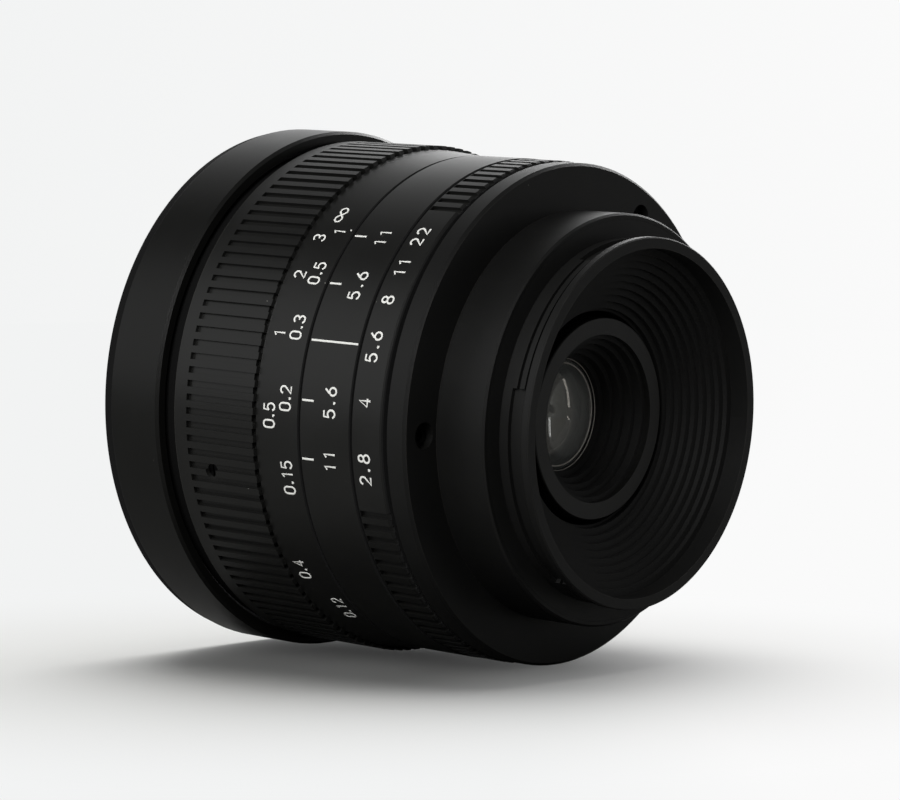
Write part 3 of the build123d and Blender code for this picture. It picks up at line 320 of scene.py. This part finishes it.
def applyTree(source, tree, inputs, name):
    # the tree's result as a plain mesh object at the origin
    modifier = source.modifiers.new("tree", "NODES")
    modifier.node_group = tree
    sockets = {item.name: item.identifier for item in tree.interface.items_tree if item.in_out == "INPUT"}
    for label, value in inputs.items():
        modifier[sockets[label]] = value
    source.update_tag()
    bpy.context.view_layer.update()
    evaluated = source.evaluated_get(bpy.context.evaluated_depsgraph_get())
    mesh = bpy.data.meshes.new_from_object(evaluated)
    source.modifiers.remove(modifier)
    bpy.data.objects.remove(source)
    made = bpy.data.objects.new(name, mesh)
    bpy.context.scene.collection.objects.link(made)
    return made


# the lapped chamfer at the rim of the rear glass, and the bare edge of the lip that holds it, whose shine is a
# painted highlight in the same pale finish; sizes in mm
groundEdges = {"steps": 160, "sides": 8,
               "rings": {"lipPaintedHighlight": {"radius": 6.82, "place": -8.45, "thickness": 0.10},
                         "glass": {"radius": 6.25, "place": -8.56, "thickness": 0.20}}}
# fine-ground glass: frosted, and paler than the polished glass beside it, with a grit coarse enough to show;
# on the lip the same pale colour is a painted highlight
ground = {"name": "glassRimFineGround", "grey": "#A5A29B", "pale": "#CFCAC2", "roughness": 0.5, "ior": 1.6,
          "specular": 0.6, "grit": 0.4}


def groundGlass(s):
    material, tree, surface, place = newMaterial(
        s["name"], **{"Roughness": s["roughness"], "IOR": s["ior"], "Specular IOR Level": s["specular"]})
    grit = addNode(tree, "ShaderNodeTexNoise", values={"Scale": 1 / (s["grit"] * mm), "Detail": 3.0},
                   links={"Vector": place})
    colour = addNode(tree, "ShaderNodeMix", {"data_type": "RGBA"},
                     {6: linear(s["grey"]), 7: linear(s["pale"])}, {"Factor": grit.outputs["Fac"]})
    tree.links.new(colour.outputs[2], surface.inputs["Base Color"])
    return material


def ringTree(s):
    # a thin round bead laid in a circle across the optical axis
    tree = bpy.data.node_groups.new("beadRoundAxis", "GeometryNodeTree")
    face = tree.interface
    face.new_socket("Geometry", in_out="INPUT", socket_type="NodeSocketGeometry")
    for name in ("Ring Radius", "Place", "Thickness"):
        face.new_socket(name, in_out="INPUT", socket_type="NodeSocketFloat")
    face.new_socket("Finish", in_out="INPUT", socket_type="NodeSocketMaterial")
    face.new_socket("Geometry", in_out="OUTPUT", socket_type="NodeSocketGeometry")
    given = addNode(tree, "NodeGroupInput").outputs
    line = addNode(tree, "GeometryNodeCurvePrimitiveCircle", values={"Resolution": s["steps"]},
                   links={"Radius": given["Ring Radius"]})
    across = addNode(tree, "ShaderNodeCombineXYZ", links={"X": given["Place"]})
    stood = addNode(tree, "GeometryNodeTransform", values={"Rotation": (0, math.pi / 2, 0)},
                    links={"Geometry": line.outputs[0], "Translation": across.outputs[0]})
    half = addNode(tree, "ShaderNodeMath", {"operation": "MULTIPLY"}, {1: 0.5}, {0: given["Thickness"]})
    pen = addNode(tree, "GeometryNodeCurvePrimitiveCircle", values={"Resolution": s["sides"]},
                  links={"Radius": half.outputs[0]})
    bead = addNode(tree, "GeometryNodeCurveToMesh",
                   links={"Curve": stood.outputs[0], "Profile Curve": pen.outputs[0]})
    real = addNode(tree, "GeometryNodeRealizeInstances", links={0: bead.outputs[0]})
    painted = addNode(tree, "GeometryNodeSetMaterial",
                      links={"Geometry": real.outputs[0], "Material": given["Finish"]})
    addNode(tree, "NodeGroupOutput", links={0: painted.outputs[0]})
    return tree


def layEdgeRings(s):
    tree = ringTree(s)
    finish = groundGlass(ground)
    for name, ring in s["rings"].items():
        source = bpy.data.objects.new(name + "Seed", bpy.data.meshes.new(name + "Seed"))
        bpy.context.scene.collection.objects.link(source)
        made = applyTree(source, tree, {"Ring Radius": ring["radius"] * mm, "Place": ring["place"] * mm,
                                        "Thickness": ring["thickness"] * mm, "Finish": finish},
                         name + "GroundEdge")
        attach(made, "optical_block")


layEdgeRings(groundEdges)
print("rear glass rimmed")


def bow(centreX, centreY, radiusX, radiusY, start, end, steps=14):
    turns = [math.radians(start + (end - start) * i / steps) for i in range(steps + 1)]
    return [(centreX + radiusX * math.cos(t), centreY + radiusY * math.sin(t)) for t in turns]


# figures in the plain round-ended strokes of an engraving machine, on a cell one unit high
figures = {
    "0": [bow(0.29, 0.70, 0.27, 0.28, 180, 0) + bow(0.29, 0.28, 0.27, 0.28, 0, -180) + [(0.02, 0.70)]],
    "1": [[(0.08, 0.80), (0.30, 0.98), (0.30, 0.0)]],
    "2": [bow(0.29, 0.70, 0.26, 0.28, 170, -35) + [(0.03, 0.02), (0.57, 0.02)]],
    "3": [bow(0.27, 0.735, 0.245, 0.245, 160, -90) + bow(0.27, 0.255, 0.275, 0.255, 90, -160)],
    "4": [[(0.42, 0.0), (0.42, 0.98), (0.02, 0.27), (0.58, 0.27)]],
    "5": [[(0.52, 0.98), (0.11, 0.98), (0.06, 0.55)] + bow(0.29, 0.32, 0.27, 0.32, 135, -155)],
    "6": [[(0.46, 0.98), (0.20, 0.66)] + bow(0.29, 0.30, 0.27, 0.30, 140, -220)],
    "8": [bow(0.29, 0.755, 0.215, 0.235, -90, 270) + bow(0.29, 0.265, 0.27, 0.265, 90, -270)],
    ".": [[(0.02, 0.05), (0.10, 0.05), (0.10, 0.13), (0.02, 0.13), (0.02, 0.05)]],
    "∞": [bow(0.30, 0.42, 0.28, 0.26, 45, 315) + bow(1.06, 0.42, 0.28, 0.26, 135, -135) + [(0.498, 0.604)]],
}
figureWidth = 0.58
oddWidths = {"1": 0.44, ".": 0.12, "∞": 1.36}

# white enamel rubbed into the engraved figures: matt, and a little uneven where the filling is thin, in
# patches of half a millimetre
enamelled = {"name": "scaleEnamelWhite", "thin": "#DADAD5", "full": "#F6F6F2",
             "roughness": 0.5, "specular": 0.4, "unevenSize": 0.526}


def scaleEnamel(s):
    material, tree, surface, place = newMaterial(
        s["name"], **{"Roughness": s["roughness"], "Specular IOR Level": s["specular"]})
    uneven = addNode(tree, "ShaderNodeTexNoise", values={"Scale": 1 / (s["unevenSize"] * mm), "Detail": 3.0},
                     links={"Vector": place})
    colour = addNode(tree, "ShaderNodeMix", {"data_type": "RGBA"},
                     {6: linear(s["thin"]), 7: linear(s["full"])}, {"Factor": uneven.outputs["Fac"]})
    tree.links.new(colour.outputs[2], surface.inputs["Base Color"])
    return material


def wordStrokes(text, height, spacing):
    # the strokes of a number, centred, in mm: across in reading direction, up towards its head
    strokes = []
    reach = 0.0
    for character in text:
        for stroke in figures[character]:
            strokes.append([((reach + x) * height, (y - 0.5) * height) for x, y in stroke])
        reach += oddWidths.get(character, figureWidth) + spacing
    middle = (reach - spacing) * height / 2
    return [[(x - middle, y) for x, y in stroke] for stroke in strokes]


def wrapTree(penSides=10):
    # strokes drawn flat become enamel beads, laid round a ring of any radius
    tree = bpy.data.node_groups.new("enamelRoundRing", "GeometryNodeTree")
    face = tree.interface
    face.new_socket("Geometry", in_out="INPUT", socket_type="NodeSocketGeometry")
    for name in ("Ring Radius", "Taper Place", "Taper", "Stroke", "Height"):
        face.new_socket(name, in_out="INPUT", socket_type="NodeSocketFloat")
    face.new_socket("Enamel", in_out="INPUT", socket_type="NodeSocketMaterial")
    face.new_socket("Geometry", in_out="OUTPUT", socket_type="NodeSocketGeometry")
    given = addNode(tree, "NodeGroupInput").outputs
    half = addNode(tree, "ShaderNodeMath", {"operation": "MULTIPLY"}, {1: 0.5}, {0: given["Stroke"]})
    pen = addNode(tree, "GeometryNodeCurvePrimitiveCircle", values={"Resolution": penSides},
                  links={"Radius": half.outputs[0]})
    beads = addNode(tree, "GeometryNodeCurveToMesh", values={"Fill Caps": True},
                    links={"Curve": given["Geometry"], "Profile Curve": pen.outputs[0]})
    place = addNode(tree, "GeometryNodeInputPosition")
    flat = addNode(tree, "ShaderNodeSeparateXYZ", links={0: place.outputs[0]})
    # flat x is the arc, flat y the place along the axis, flat z the bead's thickness, pressed to its height
    press = addNode(tree, "ShaderNodeMath", {"operation": "DIVIDE"},
                    links={0: given["Height"], 1: half.outputs[0]})
    along = addNode(tree, "ShaderNodeMath", {"operation": "SUBTRACT"},
                    links={0: flat.outputs["Y"], 1: given["Taper Place"]})
    base = addNode(tree, "ShaderNodeMath", {"operation": "MULTIPLY_ADD"},
                   links={0: along.outputs[0], 1: given["Taper"], 2: given["Ring Radius"]})
    radius = addNode(tree, "ShaderNodeMath", {"operation": "MULTIPLY_ADD"},
                     links={0: flat.outputs["Z"], 1: press.outputs[0], 2: base.outputs[0]})
    angle = addNode(tree, "ShaderNodeMath", {"operation": "DIVIDE"},
                    links={0: flat.outputs["X"], 1: given["Ring Radius"]})
    sine = addNode(tree, "ShaderNodeMath", {"operation": "SINE"}, links={0: angle.outputs[0]})
    cosine = addNode(tree, "ShaderNodeMath", {"operation": "COSINE"}, links={0: angle.outputs[0]})
    sideways = addNode(tree, "ShaderNodeMath", {"operation": "MULTIPLY"},
                       links={0: sine.outputs[0], 1: radius.outputs[0]})
    towardsViewer = addNode(tree, "ShaderNodeMath", {"operation": "MULTIPLY"}, {1: -1.0},
                            {0: sideways.outputs[0]})
    upwards = addNode(tree, "ShaderNodeMath", {"operation": "MULTIPLY"},
                      links={0: cosine.outputs[0], 1: radius.outputs[0]})
    wrapped = addNode(tree, "ShaderNodeCombineXYZ",
                      links={"X": flat.outputs["Y"], "Y": towardsViewer.outputs[0], "Z": upwards.outputs[0]})
    moved = addNode(tree, "GeometryNodeSetPosition",
                    links={"Geometry": beads.outputs[0], "Position": wrapped.outputs[0]})
    real = addNode(tree, "GeometryNodeRealizeInstances", links={0: moved.outputs[0]})
    painted = addNode(tree, "GeometryNodeSetMaterial",
                      links={"Geometry": real.outputs[0], "Material": given["Enamel"]})
    addNode(tree, "NodeGroupOutput", links={0: painted.outputs[0]})
    return tree


def marksOnRing(name, body, s, enamel, tree):
    # the numbers and ticks of one ring; angles from the top towards the viewer, places along the axis
    drawing = bpy.data.curves.new(name + "Drawing", "CURVE")
    drawing.dimensions = "3D"
    radius = s["radius"]
    strokes = []
    for text, angle, place, *size in s["numbers"]:
        height = size[0] if size else s["height"]
        centre = math.radians(angle) * radius
        for stroke in wordStrokes(text, height, s["spacing"]):
            # reading direction runs against the angle, and the heads point to the front
            strokes.append([(centre - x, place - y) for x, y in stroke])
    for angle, front, rear in s.get("ticks", ()):
        centre = math.radians(angle) * radius
        strokes.append([(centre, front), (centre, rear)])
    for stroke in strokes:
        spline = drawing.splines.new("POLY")
        spline.points.add(len(stroke) - 1)
        for point, (arc, place) in zip(spline.points, stroke):
            point.co = (arc * mm, place * mm, 0, 1)
    source = bpy.data.objects.new(name + "Drawing", drawing)
    bpy.context.scene.collection.objects.link(source)
    made = applyTree(source, tree, {"Ring Radius": radius * mm, "Taper Place": s.get("taperPlace", 0.0) * mm,
                                    "Taper": s.get("taper", 0.0), "Stroke": s["stroke"] * mm,
                                    "Height": s["proud"] * mm, "Enamel": enamel}, name)
    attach(made, body)


# sizes and places in mm; a number that isn't as tall as the rest of its ring gives its own height last
apertureMarks = {"radius": 30.45, "height": 1.7, "spacing": 0.42, "stroke": 0.26, "proud": 0.03,
                 "numbers": [("2.8", 101.0, -13.1), ("4", 86.3, -13.1), ("5.6", 74.0, -13.1),
                             ("8", 63.1, -13.1), ("11", 55.0, -13.1), ("22", 46.2, -13.1)]}
# two rows of distances, on the ring's taper
focusMarks = {"radius": 30.786, "taperPlace": -27.5, "taper": -0.0822,
              "height": 1.58, "spacing": 0.28, "stroke": 0.24, "proud": 0.03,
              "numbers": [("∞", 41.9, -26.9, 1.8), ("3", 49.2, -27.6), ("2", 59.2, -27.6),
                          ("1", 73.3, -27.6), ("0.5", 91.4, -27.6), ("0.4", 129.2, -27.6),
                          ("1", 46.9, -25.3), ("0.5", 58.3, -25.3), ("0.3", 71.4, -25.3),
                          ("0.2", 87.3, -25.3), ("0.15", 105.1, -25.3), ("0.12", 142.4, -25.3)],
              "ticks": [(46.0, -23.95, -23.75)]}
# the index line, and a depth-of-field scale in plain numbers
indexMarks = {"radius": 30.5, "height": 1.7, "spacing": 0.42, "stroke": 0.26, "proud": 0.03,
              "numbers": [("5.6", 60.4, -18.4), ("5.6", 87.2, -18.4), ("11", 47.5, -18.4),
                          ("11", 100.2, -18.4)],
              "ticks": [(73.85, -22.7, -15.45), (60.4, -22.7, -20.9), (87.2, -22.7, -20.9),
                        (47.5, -22.7, -20.9), (100.2, -22.7, -20.9)]}

enamel = scaleEnamel(enamelled)
enamelTree = wrapTree()
marksOnRing("apertureNumbers", "aperture", apertureMarks, enamel, enamelTree)
marksOnRing("distanceNumbers", "focus", focusMarks, enamel, enamelTree)
marksOnRing("indexMarks", "barrel", indexMarks, enamel, enamelTree)
print("figures engraved")

# a floor of pale paper, matt, that tilts up to the cap's rim and the flange, and fades into the backdrop
floorPaper = {"pale": "#F3F3F0", "bounce": "#868684", "roughness": 0.6, "specular": 0.2,
              "slope": 3.5, "under": (-0.045, -0.0326), "reach": 1.6,
              "fadeCentre": (-0.029, -0.020, -0.031), "fadeStart": 0.014, "fadeEnd": 0.100, "ambient": 0.035}
# a pale paper backdrop, a little darker on the left
backdrop = {"left": "#F2F3F3", "right": "#FAFAFA", "towardsRight": (0.764, 0.644, 0.0), "halfWidth": 0.14,
            "behind": (-0.64, 0.765, 0.05), "seenFrom": 0.72, "seenWhole": 0.98}
# the room round the lens is dim, with three soft glows: the direction, where it begins and is full, its level
room = {"dim": 0.05,
        "glows": [((-0.64, -0.75, 0.17), 0.72, 0.98, 0.68),    # low on the left
                  ((-0.45, 0.70, 0.55), 0.55, 1.0, 0.40),      # above and behind
                  ((0.94, 0.34, 0.0), 0.05, 0.75, 0.12)]}      # wide, on the right


def seenBackdrop(tree, direction, s):
    # what sees the backdrop: the camera, and gloss and glass that look behind the lens; the rest sees the room
    path = addNode(tree, "ShaderNodeLightPath").outputs
    turnedTo = addNode(tree, "ShaderNodeVectorMath", {"operation": "DOT_PRODUCT"}, {1: s["behind"]},
                       {0: direction})
    behind = addNode(tree, "ShaderNodeMapRange", {"interpolation_type": "SMOOTHSTEP"},
                     {"From Min": s["seenFrom"], "From Max": s["seenWhole"]},
                     {"Value": turnedTo.outputs["Value"]})
    mirrored = addNode(tree, "ShaderNodeMath", {"operation": "MAXIMUM"},
                       links={0: path["Is Glossy Ray"], 1: path["Is Transmission Ray"]})
    gloss = addNode(tree, "ShaderNodeMath", {"operation": "MULTIPLY"},
                    links={0: mirrored.outputs[0], 1: behind.outputs[0]})
    share = addNode(tree, "ShaderNodeMath", {"operation": "MAXIMUM"},
                    links={0: path["Is Camera Ray"], 1: gloss.outputs[0]})
    return share.outputs[0]


def backdropColour(tree, direction, s):
    side = addNode(tree, "ShaderNodeVectorMath", {"operation": "DOT_PRODUCT"}, {1: s["towardsRight"]},
                   {0: direction})
    across = addNode(tree, "ShaderNodeMapRange",
                     values={"From Min": -s["halfWidth"], "From Max": s["halfWidth"]},
                     links={"Value": side.outputs["Value"]})
    colour = addNode(tree, "ShaderNodeMix", {"data_type": "RGBA"},
                     {6: linear(s["left"]), 7: linear(s["right"])}, {"Factor": across.outputs[0]})
    return colour.outputs[2]


def layFloor(s):
    tilt = math.tan(math.radians(s["slope"]))
    underX, underZ = s["under"]
    reach = s["reach"]
    corners = [(x, y, underZ + tilt * (x - underX))
               for x, y in ((-reach, -reach), (reach, -reach), (reach, reach), (-reach, reach))]
    mesh = bpy.data.meshes.new("studioFloor")
    mesh.from_pydata(corners, [], [(0, 1, 2, 3)])
    floor = bpy.data.objects.new("studioFloor", mesh)
    bpy.context.scene.collection.objects.link(floor)
    material, tree, surface, place = newMaterial(
        "studioFloorPaper", **{"Roughness": s["roughness"], "Specular IOR Level": s["specular"]})
    # the camera sees pale paper; the lens gets little light back from it
    path = addNode(tree, "ShaderNodeLightPath").outputs
    paper = addNode(tree, "ShaderNodeMix", {"data_type": "RGBA"},
                    {6: linear(s["bounce"]), 7: linear(s["pale"])}, {"Factor": path["Is Camera Ray"]})
    tree.links.new(paper.outputs[2], surface.inputs["Base Color"])
    away = addNode(tree, "ShaderNodeVectorMath", {"operation": "NORMALIZE"}, links={0: place}).outputs[0]
    far = addNode(tree, "ShaderNodeVectorMath", {"operation": "DISTANCE"}, {1: s["fadeCentre"]}, {0: place})
    fade = addNode(tree, "ShaderNodeMapRange", {"interpolation_type": "SMOOTHSTEP"},
                   {"From Min": s["fadeStart"], "From Max": s["fadeEnd"], "To Min": s["ambient"]},
                   {"Value": far.outputs["Value"]})
    share = addNode(tree, "ShaderNodeMath", {"operation": "MULTIPLY"},
                    links={0: fade.outputs[0], 1: seenBackdrop(tree, away, backdrop)})
    glow = addNode(tree, "ShaderNodeEmission", values={"Strength": 1.0},
                   links={"Color": backdropColour(tree, away, backdrop)})
    mixed = addNode(tree, "ShaderNodeMixShader",
                    links={0: share.outputs[0], 1: surface.outputs[0], 2: glow.outputs[0]})
    output = next(n for n in tree.nodes if n.type == "OUTPUT_MATERIAL")
    tree.links.new(mixed.outputs[0], output.inputs[0])
    mesh.materials.append(material)


def lightRoom(s):
    world = bpy.data.worlds.new("studio")
    bpy.context.scene.world = world
    world.use_nodes = True
    tree = world.node_tree
    tree.nodes.clear()
    direction = addNode(tree, "ShaderNodeTexCoord").outputs["Generated"]
    level = addNode(tree, "ShaderNodeValue").outputs[0]
    level.default_value = s["dim"]
    for axis, low, high, lit in s["glows"]:
        near = addNode(tree, "ShaderNodeVectorMath", {"operation": "DOT_PRODUCT"}, {1: axis}, {0: direction})
        lobe = addNode(tree, "ShaderNodeMapRange", {"interpolation_type": "SMOOTHSTEP"},
                       {"From Min": low, "From Max": high, "To Max": lit}, {"Value": near.outputs["Value"]})
        level = addNode(tree, "ShaderNodeMath", {"operation": "ADD"},
                        links={0: level, 1: lobe.outputs[0]}).outputs[0]
    strength = addNode(tree, "ShaderNodeMix", {"data_type": "FLOAT"}, {3: 1.0},
                       {0: seenBackdrop(tree, direction, backdrop), 2: level})
    sky = addNode(tree, "ShaderNodeBackground",
                  links={"Color": backdropColour(tree, direction, backdrop), "Strength": strength.outputs[0]})
    addNode(tree, "ShaderNodeOutputWorld", links={0: sky.outputs[0]})


layFloor(floorPaper)
lightRoom(room)

# soft boxes: right, up and back are counted from the lens's middle in the camera's own directions
lensMiddle = (-0.022, 0, 0)
softBoxes = {
    "behindRight": {"right": 0.20, "up": 0.46, "back": -0.55, "wide": 0.36, "tall": 0.36, "watts": 2.7},
    "frontLeft": {"right": -0.26, "up": 0.30, "back": 0.62, "wide": 0.45, "tall": 0.40, "watts": 5.1},
    "stripRight": {"right": 0.85, "up": 0.02, "back": -0.16, "wide": 0.05, "tall": 0.5, "watts": 0.15},
    "overFloor": {"right": 0.0, "up": 0.66, "back": -0.24, "wide": 0.65, "tall": 0.65, "watts": 4.7,
                  "floor": True},
}


def makeSoftBoxes(boxes):
    # the floor has a box of its own, so that it carries one soft shadow, and the others are flagged off it
    linked = {}
    for state in ("INCLUDE", "EXCLUDE"):
        linked[state] = bpy.data.collections.new("floor" + state.title())
        linked[state].objects.link(bpy.data.objects["studioFloor"])
        linked[state].collection_objects[0].light_linking.link_state = state
    middle = Vector(lensMiddle)
    axes = [Vector(camera[k]) for k in ("right", "up", "back")]
    for name, b in boxes.items():
        lamp = bpy.data.lights.new(name, "AREA")
        lamp.shape = "RECTANGLE"
        lamp.size = b["wide"]
        lamp.size_y = b["tall"]
        lamp.energy = b["watts"]
        lampObject = bpy.data.objects.new(name, lamp)
        lampObject.location = middle + axes[0] * b["right"] + axes[1] * b["up"] + axes[2] * b["back"]
        lampObject.rotation_mode = "QUATERNION"
        lampObject.rotation_quaternion = (middle - lampObject.location).to_track_quat("-Z", "Y")
        lampObject.visible_camera = False
        lampObject.light_linking.receiver_collection = linked["INCLUDE" if b.get("floor") else "EXCLUDE"]
        bpy.context.scene.collection.objects.link(lampObject)


makeSoftBoxes(softBoxes)
print("stage lit")
